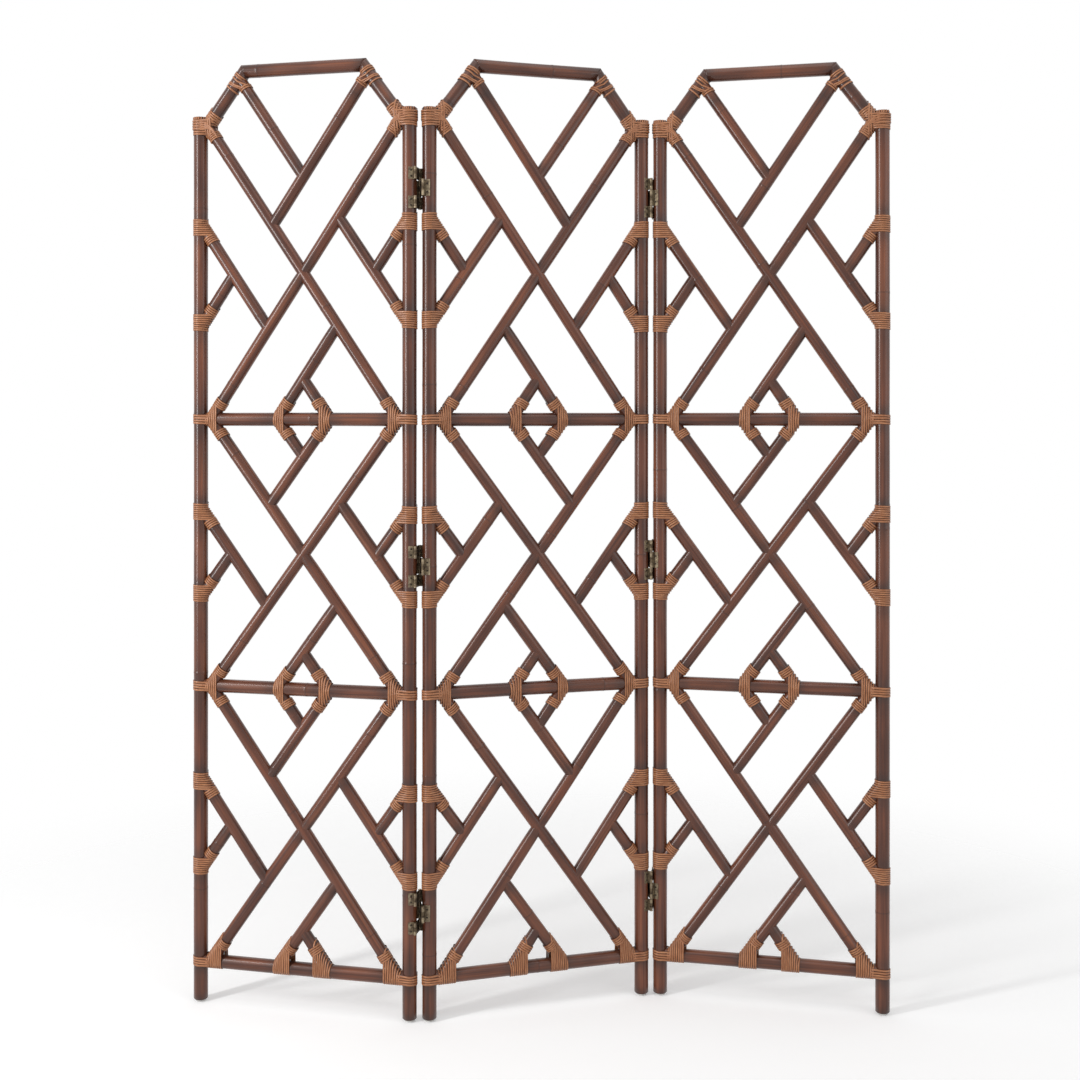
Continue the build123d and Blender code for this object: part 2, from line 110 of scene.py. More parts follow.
# Strands at a corner of the top: their bends round the shoulder, in degrees from its front,
# and for each where it lies along the shoulder at its edge and on its front, and across the
# filler as a share of its radius
CORNER_BENDS = (-88, -60, -32, -4, 22)
CORNER_STRANDS = ((0.0205, 0.0225, -0.80), (0.0330, 0.0310, 0.40), (0.0370, 0.0340, 0.80))

# Strands over the head of a post: their bends round it, in degrees from its front
HEAD_BENDS = (-88, -58, -28, 2, 30)

# How the panels stand: turn, and the pins of the two gaps
REST_TURN = math.radians(15)
PIN_X = POST_X + 0.0156
PIN_Y = 0.014

Pole = namedtuple("Pole", "start end radius")


def run_of(pole):
    """The unit direction of a pole in the panel's plane, and its length."""
    run = Vector((pole.end[0] - pole.start[0], 0, pole.end[1] - pole.start[1]))
    return run.normalized(), run.length


def flipped(pole):
    return Pole(pole.end, pole.start, pole.radius)


def crossing(point_a, slope_a, point_b, slope_b):
    x = (point_b[1] - point_a[1] + slope_a * point_a[0] - slope_b * point_b[0]) / (slope_a - slope_b)
    return (x, point_a[1] + slope_a * (x - point_a[0]))


# The poles of a panel

def frame_poles():
    poles = {}
    for side, sign in (("left", -1), ("right", 1)):
        poles[side + "_post"] = Pole((sign * POST_X, POST_FOOT), (sign * POST_X, POST_TOP), POST_R)
        poles[side + "_shoulder"] = Pole((sign * POST_X, SHOULDER_FOOT), (sign * CORNER_X, TOP_Z), RAIL_R)
    for name, height in (("upper_rail", UPPER), ("lower_rail", LOWER), ("bottom_rail", BOTTOM)):
        poles[name] = Pole((-POST_X, height), (POST_X, height), RAIL_R)
    poles["top_rail"] = Pole((-CORNER_X, TOP_Z), (CORNER_X, TOP_Z), RAIL_R)
    return poles


Bay = namedtuple("Bay", "name below above middle slope main_top spread")


def bays():
    shoulder_slope = (TOP_Z - SHOULDER_FOOT) / (CORNER_X - POST_X)
    top_slope = (TOP_CROSSING - UPPER) / MAIN_FOOT_X
    main_top = crossing((0, TOP_CROSSING), top_slope, (POST_X, SHOULDER_FOOT), shoulder_slope)
    made = [Bay("top", "upper_rail", "shoulder", TOP_CROSSING, top_slope, main_top, SIDE_SPREAD[0])]
    for name, above, high, below, low, spread in (
            ("middle", "upper_rail", UPPER, "lower_rail", LOWER, SIDE_SPREAD[1]),
            ("bottom", "lower_rail", LOWER, "bottom_rail", BOTTOM, SIDE_SPREAD[2])):
        slope = (high - low) / (2 * MAIN_FOOT_X)
        made.append(Bay(name, below, above, (high + low) / 2, slope, (MAIN_FOOT_X, high), spread))
    return made


def main_poles(frame_set, bay):
    low = frame_set[bay.below].start[1]
    return {sign: Pole((-sign * MAIN_FOOT_X, low), (sign * bay.main_top[0], bay.main_top[1]), CANE_R)
            for sign in (1, -1)}


def filler_poles(frame_set, bay):
    """The eight fillers of a bay: two from above, four from the posts, two from below."""
    mains = main_poles(frame_set, bay)
    low = frame_set[bay.below].start[1]
    if bay.above == "shoulder":
        shoulder = frame_set["right_shoulder"]
        rise = (shoulder.end[1] - shoulder.start[1]) / (shoulder.end[0] - shoulder.start[0])
        knot = (TOP_FILLER_X, shoulder.end[1] + rise * (TOP_FILLER_X - shoulder.end[0]))
    else:
        knot = (KNOT_X, frame_set[bay.above].start[1])
    made = []

    def filler(start, slope, target):
        rise = (target.end[1] - target.start[1]) / (target.end[0] - target.start[0])
        pole = Pole(start, crossing(start, slope, target.start, rise), CANE_R)
        made.append(pole)
        return pole

    long_one = filler(knot, bay.slope, mains[-1])
    filler((-knot[0], knot[1]), -bay.slope, long_one)
    joint_rise = bay.spread - SIDE_DROP + POST_R * bay.slope
    for sign in (1, -1):
        long_one = filler((sign * POST_X, bay.middle - sign * joint_rise), -bay.slope, mains[1])
        filler((sign * POST_X, bay.middle + sign * joint_rise), bay.slope, long_one)
    long_one = filler((-KNOT_X, low), bay.slope, mains[-1])
    filler((KNOT_X, low), -bay.slope, long_one)
    return made


# Cane: a pole with growth rings, a slight bow and its own grain

# Steps along a cane and round it, and the closer steps beside a growth ring
CANE_STEP = 0.016
CANE_SIDES = 22
RING_STEPS = (-0.006, -0.0035, -0.002, -0.001, 0, 0.001, 0.002, 0.0035, 0.006)
# How high a growth ring's ridge is, and the swelling on either side of it
RING_RIDGE, RING_SWELL = 0.00034, 0.00012


def cane_stations(length, rings):
    """Distances along a cane: even steps, and close ones at its growth rings."""
    count = max(4, round(length / CANE_STEP))
    marks = {round(length * step / count, 6) for step in range(count + 1)}
    for ring in rings:
        for near in RING_STEPS:
            if 0.002 < ring + near < length - 0.002:
                marks.add(round(ring + near, 6))
    marks = sorted(marks)
    kept = [marks[0]]
    for mark in marks[1:]:
        if mark - kept[-1] > 0.0007:
            kept.append(mark)
    kept[-1] = length
    return kept


def tube(bm, stations, sides, put):
    """A closed tube. put places one vertex, given its station and its angle round the tube."""
    made = bmesh.ops.create_grid(bm, x_segments=sides, y_segments=stations - 1, size=1)
    seam, rims = [], []
    for vert in made["verts"]:
        column = round((vert.co.x + 1) / 2 * sides)
        place = round((vert.co.y + 1) / 2 * (stations - 1))
        put(vert, place, 2 * math.pi * column / sides)
        if column in (0, sides):
            seam.append(vert)
        if place in (0, stations - 1):
            rims += [edge for edge in vert.link_edges if len(edge.link_faces) == 1]
    ends = [edge for edge in dict.fromkeys(rims)
            if not (edge.verts[0] in seam and edge.verts[1] in seam)]
    bmesh.ops.remove_doubles(bm, verts=seam, dist=1e-6)
    bmesh.ops.holes_fill(bm, edges=[edge for edge in ends if edge.is_valid], sides=0)


def growth_rings(length, rng, spacing):
    """Where a cane's growth rings lie, at uneven distances."""
    rings = []
    at = rng.uniform(0.2, 0.9) * spacing
    while at < length - 0.02:
        rings.append(at)
        at += spacing * rng.uniform(0.7, 1.25)
    return rings


def cane(bm, pole, rng, spacing, bow, joints, bevel=0.0, pared=(0, 0)):
    """One cane from start to end. joints are distances along it where the stain lies darker.

    spacing is the usual distance between its growth rings, and bow how far its middle strays.
    pared says how much thinner its two ends are, where they sink into another cane.
    """
    grain = bm.verts.layers.float_vector.get("grain") or bm.verts.layers.float_vector.new("grain")
    stain = bm.verts.layers.float.get("stain") or bm.verts.layers.float.new("stain")
    direction, length = run_of(pole)
    out = Vector((0, -1, 0))
    across = direction.cross(out).normalized()
    rings = growth_rings(length, rng, spacing)
    marks = cane_stations(length, rings)
    if bevel:
        marks = [0.0, bevel] + [mark for mark in marks if mark > bevel * 1.5]
    seed = rng.uniform(0, 50)
    lean = rng.uniform(0, 2 * math.pi)
    start = Vector((pole.start[0], 0, pole.start[1]))
    spans = []
    for mark in marks:
        swell, scar = 0.0, 0.0
        for ring in rings:
            gap = mark - ring
            swell += RING_RIDGE * math.exp(-(gap / 0.0022) ** 2)
            swell += RING_SWELL * math.exp(-abs(gap) / 0.02) * (1 if gap < 0 else 0.3)
            scar = max(scar, 0.55 * math.exp(-(gap / 0.0012) ** 2))
        soft = noise.noise(Vector((seed, mark * 9, 0))) * 0.00022
        sway = math.sin(math.pi * mark / length) * bow
        wander = noise.noise(Vector((mark * 4, seed, 2))) * bow * 0.5
        centre = (start + direction * mark + out * (math.cos(lean) * sway)
                  + across * (math.sin(lean) * sway + wander * min(1, mark * 20, (length - mark) * 20)))
        dark = scar
        for joint in joints:
            dark = max(dark, 0.75 * math.exp(-abs(mark - joint) / 0.012))
        radius = pole.radius + swell * 0.9 + soft
        for amount, gap in zip(pared, (mark, length - mark)):
            radius -= amount * math.exp(-(gap / 0.016) ** 2)
        if bevel and mark == 0.0:
            radius -= bevel
        spans.append((centre, radius, dark, mark))

    def put(vert, place, angle):
        centre, radius, dark, mark = spans[place]
        lumps = noise.noise(Vector((math.cos(angle) * 0.8, math.sin(angle) * 0.8, mark * 12 + seed)))
        size = radius + lumps * 0.00013
        vert.co = centre + (out * math.cos(angle) + across * math.sin(angle)) * size
        vert[grain] = (math.cos(angle) * pole.radius, math.sin(angle) * pole.radius, mark + seed)
        vert[stain] = dark

    tube(bm, len(spans), CANE_SIDES, put)


# Peel strips wound round the joints

def outline_point(shapes, angle):
    """Where a taut strip lies round several ovals, in the direction of an angle.

    shapes are (side, centre, half width, half depth) in the plane across the host pole.
    A guest's oval counts only on the side that it leaves the host on.
    """
    wide, deep = math.cos(angle), math.sin(angle)
    best = None
    for side, centre, half_width, half_depth in shapes:
        if side * wide < 0:
            continue
        reach = math.sqrt((half_width * wide) ** 2 + (half_depth * deep) ** 2)
        support = centre * wide + reach
        if best is None or support > best[0]:
            best = (support, centre + half_width ** 2 * wide / reach, half_depth ** 2 * deep / reach)
    return best[1], best[2]


def shapes_at(host, guests, distance):
    """The ovals that a plane across the host cuts from the host and its guests, at a distance."""
    direction, _ = run_of(host)
    side = direction.cross(Vector((0, -1, 0))).normalized()
    origin = Vector((host.start[0], 0, host.start[1]))
    shapes = [(0, 0.0, host.radius, host.radius)] if host.radius else []
    for guest in guests:
        guest_direction, _ = run_of(guest)
        rise = guest_direction.dot(direction)
        start = Vector((guest.start[0], 0, guest.start[1])) - origin
        if abs(rise) < 1e-6:
            above = distance - start.dot(direction)
            if abs(above) < guest.radius - 0.0004:
                own_side = math.copysign(1, guest_direction.dot(side))
                half_depth = math.sqrt(guest.radius ** 2 - above ** 2)
                shapes.append((own_side, own_side * ROOT_REACH, 0.0015, half_depth))
            continue
        travel = (distance - start.dot(direction)) / rise
        if travel < -0.016:
            continue
        centre = (start + guest_direction * travel).dot(side)
        own_side = math.copysign(1, guest_direction.dot(side)) if host.radius else 0
        shapes.append((own_side, centre, guest.radius / abs(rise), guest.radius))
    return shapes


def peel(bm, stops, width, rng):
    """One strip through stops of (centre, outward, sideways)."""
    strand = bm.verts.layers.float_vector.get("strand") or bm.verts.layers.float_vector.new("strand")
    tone = rng.uniform(0, 10)
    lengths = [0.0]
    for near, far in zip(stops, stops[1:]):
        lengths.append(lengths[-1] + (far[0] - near[0]).length)
    last = len(stops) - 1

    def put(vert, place, angle):
        centre, outward, sideways = stops[place]
        wide, high = math.cos(angle), math.sin(angle)
        thin = 0.5 if place in (0, last) else 1.0
        lift = high * PEEL_THICK / 2 * (1.0 if high > 0 else 0.7) * thin
        vert.co = centre + outward * lift + sideways * (wide * width / 2 * (0.9 + 0.1 * thin))
        vert[strand] = (wide, lengths[place], tone + lengths[place] * 4)

    tube(bm, len(stops), PEEL_SIDES, put)


def wrap(bm, host, guests, low, high, rng, pitch=PEEL_PITCH, lift=0.0):
    """A strip wound round a host pole and its guests, from low to high along the host.

    A host without a radius is only the line that the turns follow.
    """
    direction, _ = run_of(host)
    out = Vector((0, -1, 0))
    side = direction.cross(out).normalized()
    origin = Vector((host.start[0], 0, host.start[1]))
    turns = max(1, round((high - low) / pitch))
    real_pitch = (high - low) / turns
    first = rng.uniform(0.65, 0.82)
    last = first + turns - 0.85
    jitter = [rng.uniform(-1, 1) for _ in range(turns + 3)]
    turn = WIDE_TURN if guests else EVEN_TURN
    shares = [whole + angle / 360 for whole in range(turns + 1) for angle in turn]
    stops = []
    begin = low + real_pitch / 2
    for share in [first] + [share for share in shares if first + 0.01 < share < last - 0.01] + [last]:
        angle = 2 * math.pi * share
        done = share - first
        whole = int(done)
        blend = done - whole
        stray = jitter[whole] * (1 - blend) + jitter[whole + 1] * blend
        distance = begin + real_pitch * done + stray * 0.00025
        across, depth = outline_point(shapes_at(host, guests, distance), angle)
        normal = side * math.cos(angle) + out * math.sin(angle)
        centre = (origin + direction * distance + side * across + out * depth
                  + normal * (PEEL_THICK * 0.45 + lift + abs(stray) * 0.00012))
        stops.append((centre, normal, direction))
    peel(bm, stops, real_pitch * 0.98, rng)


def strand_over(bm, points, width, rng):
    """A short strip laid through points, each with the outward direction there."""
    stops = []
    for index, (point, outward) in enumerate(points):
        near = points[max(0, index - 1)][0]
        far = points[min(len(points) - 1, index + 1)][0]
        along = (far - near).normalized()
        outward = (outward - along * outward.dot(along)).normalized()
        stops.append((point, outward, along.cross(outward).normalized()))
    peel(bm, stops, width, rng)


def side_joint(bm, post, filler, height, rng):
    """A filler bound to a post: level turns over both, then a collar on the filler."""
    low = height - post.start[1] - SIDE_BAND / 2
    wrap(bm, post, [filler], low, low + SIDE_BAND, rng, pitch=JOINT_PITCH)
    direction, _ = run_of(filler)
    low, high = (POST_R / abs(direction.x) + reach for reach in SIDE_COLLAR)
    wrap(bm, filler, [], low, high, rng, lift=0.0002)


def rail_joint(bm, rail, roots, sign, binding, rng):
    """The canes that stand at one place on a level rail, bound to it, with a collar on each."""
    poles = [pole for pole in roots if abs(pole.start[0] - sign * binding.foot) < 1e-5]
    begin = POST_X - binding.foot - binding.before
    wrap(bm, rail, poles, begin, begin + binding.width, rng, pitch=JOINT_PITCH)
    for pole in poles:
        wrap(bm, pole, [], binding.reach - RAIL_COLLAR, binding.reach, rng, lift=0.0007)


def corner_wrap(bm, post, rail, rng):
    """Level turns on a post and on the root of the rail that starts there."""
    low = rail.start[1] - post.start[1] - ROOT_BAND / 2
    wrap(bm, post, [rail], low, low + ROOT_BAND, rng, pitch=ROOT_PITCH)


def post_top_joint(bm, post, shoulder, main, sign, rng):
    """The head of a post, bound to a shoulder and to the top of a main."""
    low, high = (POST_TOP - post.start[1] - drop for drop in HEAD_BAND)
    wrap(bm, post, [shoulder], low, high, rng, pitch=HEAD_PITCH)
    wrap(bm, shoulder, [], *SHOULDER_COLLAR, rng, lift=0.0003)
    wrap(bm, main, [], *MAIN_COLLAR, rng, lift=0.0003)
    level = Pole((post.start[0], SHOULDER_FOOT), (0, SHOULDER_FOOT), 0)
    wrap(bm, level, [shoulder, main], *LEVEL_BAND, rng, lift=0.0004)
    # Strands that cross the web, front and back
    main_run, _ = run_of(main)
    root = Vector((main.start[0], 0, main.start[1]))
    inward = Vector((-sign, 0, 0))
    for face in (-1, 1):
        front = Vector((0, face, 0))
        for count in range(4):
            points = []
            for degrees in HEAD_BENDS:
                turn = math.radians(degrees)
                outward = front * math.cos(turn) + inward * math.sin(turn)
                fall = 0.0015 * (degrees - HEAD_BENDS[0]) / (HEAD_BENDS[-1] - HEAD_BENDS[0])
                height = POST_TOP - 0.006 - 0.0050 * count - fall
                place = Vector((post.start[0], 0, height)) + outward * (POST_R + 0.0022)
                points.append((place, outward))
            begin = points[-1][0]
            end = (root + main_run * (0.030 - 0.0045 * count) + front * CANE_R * 0.80
                   - Vector((sign * (0.007 - 0.0015 * count), 0, 0)) + front * 0.0012)
            for part in (0.2, 0.4, 0.6, 0.8, 1.0):
                bulge = math.sin(math.pi * part)
                point = begin.lerp(end, part) + inward * (0.004 * bulge) + Vector((0, 0, 0.003 * bulge))
                points.append((point + front * (0.0012 * bulge), front))
            strand_over(bm, points, STRAND_WIDTH, rng)
    # Strips over the flat head
    x = post.start[0]
    for share in HEAD_STRIPS:
        half = math.sqrt(1 - share ** 2) * (POST_R + 0.0012)
        points = []
        for angle in (-90, -70, -45, 0, 45, 70, 90):
            turn = math.radians(angle)
            round_over = min(1.0, abs(math.cos(turn)) * 2.2)
            rise = 0.0004 + 0.0009 * round_over - (0.004 if abs(angle) == 90 else 0)
            points.append((Vector((x + share * POST_R, math.sin(turn) * half, POST_TOP + rise)),
                           Vector((0, math.sin(turn) * 0.8, math.cos(turn) + 0.2))))
        strand_over(bm, points, HEAD_STRIP_WIDTH, rng)


def top_corner_joint(bm, shoulder, filler, rng):
    """The bands where a filler meets the shoulder under the end of the top rail."""
    from_corner = flipped(shoulder)
    for band in (CORNER_BAND, LOWER_BAND):
        wrap(bm, from_corner, [], *band, rng, pitch=SHOULDER_PITCH, lift=0.0001)
    wrap(bm, filler, [], *FILLER_COLLAR, rng, lift=0.0001)
    # Strands that cross between the bands and the filler's collar, front and back
    run, _ = run_of(from_corner)
    filler_run, _ = run_of(filler)
    corner = Vector((from_corner.start[0], 0, from_corner.start[1]))
    root = Vector((filler.start[0], 0, filler.start[1]))
    side = Vector((-run.z, 0, run.x))
    side *= math.copysign(1, filler_run.dot(side))
    filler_side = Vector((-filler_run.z, 0, filler_run.x))
    filler_side *= math.copysign(1, filler_side.dot(run))
    for face in (-1, 1):
        front = Vector((0, face, 0))
        for edge_low, front_low, share in CORNER_STRANDS:
            points = []
            for degrees in CORNER_BENDS:
                turn = math.radians(degrees)
                part = (degrees - CORNER_BENDS[0]) / (CORNER_BENDS[-1] - CORNER_BENDS[0])
                outward = front * math.cos(turn) + side * math.sin(turn)
                along = edge_low + (front_low - edge_low) * part
                points.append((corner + run * along + outward * (RAIL_R + 0.0007), outward))
            begin = points[-1][0]
            end = (root + filler_run * 0.0205 + filler_side * (share * CANE_R * 0.7)
                   + front * (CANE_R * math.sqrt(1 - (share * 0.7) ** 2) + 0.0009))
            for part in (0.33, 0.66, 1.0):
                points.append((begin.lerp(end, part), front + side * (0.2 * (1 - part))))
            strand_over(bm, points, STRAND_WIDTH, rng)


# Panels

def pin_place(side):
    """Where the middle panel's pin of a gap lies, and the place of the panel beyond it."""
    pin = Matrix.Rotation(REST_TURN, 3, "Z") @ Vector((side * PIN_X, -side * PIN_Y, 0))
    own = Matrix.Rotation(-REST_TURN, 3, "Z") @ Vector((-side * PIN_X, -side * PIN_Y, 0))
    return Matrix.Translation(pin - own) @ Matrix.Rotation(-REST_TURN, 4, "Z")


places = {
    "left": pin_place(-1),
    "middle": Matrix.Rotation(REST_TURN, 4, "Z") @ Matrix.Diagonal((-1, 1, 1, 1)),
    "right": pin_place(1),
}
# The slope of the main that runs whole in each bay, from the top down
whole_mains = {"left": (-1, 1, -1), "middle": (1, 1, 1), "right": (-1, 1, -1)}


def to_object(bm, name, place, body, *nodes):
    """A finished mesh as an object that stands for CAD nodes and rides on their body."""
    bmesh.ops.transform(bm, matrix=place, verts=bm.verts)
    bmesh.ops.recalc_face_normals(bm, faces=bm.faces)
    mesh = bpy.data.meshes.new(name)
    for face in bm.faces:
        face.smooth = True
    bm.to_mesh(mesh)
    bm.free()
    item = bpy.data.objects.new(name, mesh)
    bpy.context.scene.collection.objects.link(item)
    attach(item, body)
    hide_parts(*nodes)
    return item


def cut_mitre(bm, corner, normal):
    """Cuts a mesh at a plane and closes the cut. What lies on the normal's side goes."""
    geometry = bm.verts[:] + bm.edges[:] + bm.faces[:]
    bmesh.ops.bisect_plane(bm, geom=geometry, plane_co=corner, plane_no=normal, clear_outer=True)
    rims = [edge for edge in bm.edges if edge.is_boundary]
    bmesh.ops.holes_fill(bm, edges=rims, sides=0)


def build_panel(panel):
    place = places[panel]
    body = panel + "_panel"
    mirrored = panel == "middle"
    rng = random.Random({"left": 11, "middle": 23, "right": 37}[panel])
    poles = frame_poles()
    rows = bays()
    fillers = [filler_poles(poles, bay) for bay in rows]
    canes, strips = [], []

    # Posts, each under its own CAD name: the middle panel is drawn mirrored
    for side in ("left", "right"):
        cad_side = {"left": "right", "right": "left"}[side] if mirrored else side
        bm = bmesh.new()
        post = poles[side + "_post"]
        joints = []
        for height in (UPPER, LOWER, BOTTOM):
            joints += [height - 0.013 - post.start[1], height + 0.013 - post.start[1]]
        for bay, row in zip(rows, fillers):
            for up in (-1, 1):
                joints += [bay.middle + up * bay.spread + edge - post.start[1]
                           for edge in (-0.0195, 0.0195)]
        joints += [POST_TOP - 0.034 - post.start[1], 0.0]
        cane(bm, post, rng, spacing=0.42, bow=0.0002, joints=joints, bevel=FOOT_BEVEL)
        canes.append(to_object(bm, "%s_%s_post_cane" % (panel, cad_side), place, body,
                               "%s_%s_post" % (panel, cad_side)))

    for name in ("upper_rail", "lower_rail", "bottom_rail"):
        bm = bmesh.new()
        joints = []
        for at in (MAIN_FOOT_X - 0.02, KNOT_X - 0.02, KNOT_X + 0.006):
            joints += [POST_X - at, POST_X + at]
        cane(bm, poles[name], rng, spacing=0.34, bow=0.0005, joints=joints)
        canes.append(to_object(bm, "%s_%s_cane" % (panel, name), place, body, "%s_%s" % (panel, name)))

    # The top rail and the shoulders, mitred at the corners
    top_run, _ = run_of(poles["top_rail"])
    bm = bmesh.new()
    long_rail = Pole((-CORNER_X - MITRE_SPARE, TOP_Z), (CORNER_X + MITRE_SPARE, TOP_Z), RAIL_R)
    cane(bm, long_rail, rng, spacing=0.27, bow=0.0004,
         joints=(MITRE_SPARE, CORNER_X * 2 + MITRE_SPARE))
    for sign, side in ((1, "right"), (-1, "left")):
        shoulder_run, _ = run_of(flipped(poles[side + "_shoulder"]))
        normal = (top_run * sign + shoulder_run).normalized()
        cut_mitre(bm, Vector((sign * CORNER_X, 0, TOP_Z)), normal)
    canes.append(to_object(bm, panel + "_top_rail_cane", place, body, panel + "_top_rail"))
    bm = bmesh.new()
    for sign, side in ((1, "right"), (-1, "left")):
        half = bmesh.new()
        shoulder = poles[side + "_shoulder"]
        run, length = run_of(shoulder)
        far = (shoulder.end[0] + run.x * MITRE_SPARE, shoulder.end[1] + run.z * MITRE_SPARE)
        cane(half, Pole(shoulder.start, far, RAIL_R), rng, spacing=0.25, bow=0.0003,
             joints=(0.060, length - 0.020, length - 0.046, length), pared=FOOT_PARING)
        normal = (run - top_run * sign).normalized()
        cut_mitre(half, Vector((sign * CORNER_X, 0, TOP_Z)), normal)
        piece = bpy.data.meshes.new("shoulder")
        half.to_mesh(piece)
        half.free()
        bm.from_mesh(piece)
        bpy.data.meshes.remove(piece)
    canes.append(to_object(bm, panel + "_shoulder_canes", place, body, panel + "_shoulder_rails"))

    # The mains: one whole, the other in two halves that butt against it
    bm = bmesh.new()
    for bay, whole in zip(rows, whole_mains[panel]):
        mains = main_poles(poles, bay)
        _, length = run_of(mains[whole])
        cane(bm, mains[whole], rng, spacing=0.33, bow=0.0005, joints=(0.045, length - 0.038))
        other = mains[-whole]
        for pole in (other, flipped(other)):
            half = Pole(pole.start, (0, bay.middle), CANE_R)
            _, length = run_of(half)
            cane(bm, half, rng, spacing=0.33, bow=0.0004, joints=(0.045, length - CANE_R * 1.05),
                 pared=BUTT_PARING)
    canes.append(to_object(bm, panel + "_main_canes", place, body, panel + "_main_diagonals"))

    for bay, row in zip(rows, fillers):
        bm = bmesh.new()
        for pole in row:
            _, length = run_of(pole)
            cane(bm, pole, rng, spacing=0.30, bow=0.0003, joints=(0.046, length - CANE_R * 1.1),
                 pared=BUTT_PARING)
        canes.append(to_object(bm, "%s_%s_filler_canes" % (panel, bay.name), place, body,
                               "%s_%s_fillers" % (panel, bay.name)))

    # The bindings
    bm = bmesh.new()
    for bay, row in zip(rows, fillers):
        for filler in row[2:6]:
            side = "right" if filler.start[0] > 0 else "left"
            height = bay.middle + math.copysign(bay.spread, filler.start[1] - bay.middle)
            side_joint(bm, poles[side + "_post"], filler, height, rng)
    strips.append(to_object(bm, panel + "_post_peel", place, body, panel + "_post_bindings"))

    bm = bmesh.new()
    ends = []
    for bay, row in zip(rows, fillers):
        for pole in list(main_poles(poles, bay).values()) + row:
            ends += [pole, flipped(pole)]
    for name, height in (("upper_rail", UPPER), ("lower_rail", LOWER), ("bottom_rail", BOTTOM)):
        here = [pole for pole in ends if abs(pole.start[1] - height) < 1e-5]
        feet, knots = LOWEST_BINDINGS if name == "bottom_rail" else RAIL_BINDINGS
        for sign, side in ((-1, "left"), (1, "right")):
            rail = poles[name] if sign < 0 else flipped(poles[name])
            rail_joint(bm, rail, here, sign, feet, rng)
            corner_wrap(bm, poles[side + "_post"], rail, rng)
            rail_joint(bm, rail, here, sign, knots, rng)
    strips.append(to_object(bm, panel + "_rail_peel", place, body, panel + "_rail_bindings"))

    bm = bmesh.new()
    top_mains = main_poles(poles, rows[0])
    for sign, side, filler in ((-1, "left", fillers[0][1]), (1, "right", fillers[0][0])):
        post, shoulder = poles[side + "_post"], poles[side + "_shoulder"]
        post_top_joint(bm, post, shoulder, flipped(top_mains[sign]), sign, rng)
        top_corner_joint(bm, shoulder, filler, rng)
    strips.append(to_object(bm, panel + "_top_peel", place, body, panel + "_top_bindings"))
    return canes, strips


# Finishes

def shader(name):
    """A new material, with its node tree and its surface shader."""
    material = bpy.data.materials.new(name)
    material.use_nodes = True
    tree = material.node_tree
    return material, tree, tree.nodes["Principled BSDF"]


def ramp_node(tree, stops):
    node = tree.nodes.new("ShaderNodeValToRGB")
    points = node.color_ramp.elements
    while len(points) < len(stops):
        points.new(0.5)
    for point, (at, colour) in zip(points, stops):
        point.position = at
        point.color = (*colour, 1)
    return node


def noise_node(tree, scale, detail, roughness=0.5):
    node = tree.nodes.new("ShaderNodeTexNoise")
    node.inputs["Scale"].default_value = scale
    node.inputs["Detail"].default_value = detail
    node.inputs["Roughness"].default_value = roughness
    return node


def math_node(tree, kind, second=None):
    node = tree.nodes.new("ShaderNodeMath")
    node.operation = kind
    if second is not None:
        node.inputs[1].default_value = second
    return node


def mix_node(tree, blend="MIX"):
    node = tree.nodes.new("ShaderNodeMix")
    node.data_type = "RGBA"
    node.blend_type = blend
    node.inputs["Factor"].default_value = 1.0
    return node


def streak_group():
    """Lengthwise fibre: fine and broad streaks along a cane, from its own grain coordinates."""
    group = bpy.data.node_groups.new("cane_streaks", "ShaderNodeTree")
    face = group.interface
    face.new_socket(name="Grain", in_out="INPUT", socket_type="NodeSocketVector")
    for name in ("Fine", "Broad", "Blotch"):
        face.new_socket(name=name, in_out="OUTPUT", socket_type="NodeSocketFloat")
    into = group.nodes.new("NodeGroupInput")
    out = group.nodes.new("NodeGroupOutput")
    for name, stretch, detail in (("Fine", (420, 420, 7), 3), ("Broad", (130, 130, 3), 3),
                                  ("Blotch", (30, 30, 9), 2)):
        mapping = group.nodes.new("ShaderNodeMapping")
        mapping.inputs["Scale"].default_value = stretch
        texture = noise_node(group, 1.0, detail, 0.55)
        group.links.new(into.outputs["Grain"], mapping.inputs["Vector"])
        group.links.new(mapping.outputs["Vector"], texture.inputs["Vector"])
        group.links.new(texture.outputs["Fac"], out.inputs[name])
    return group


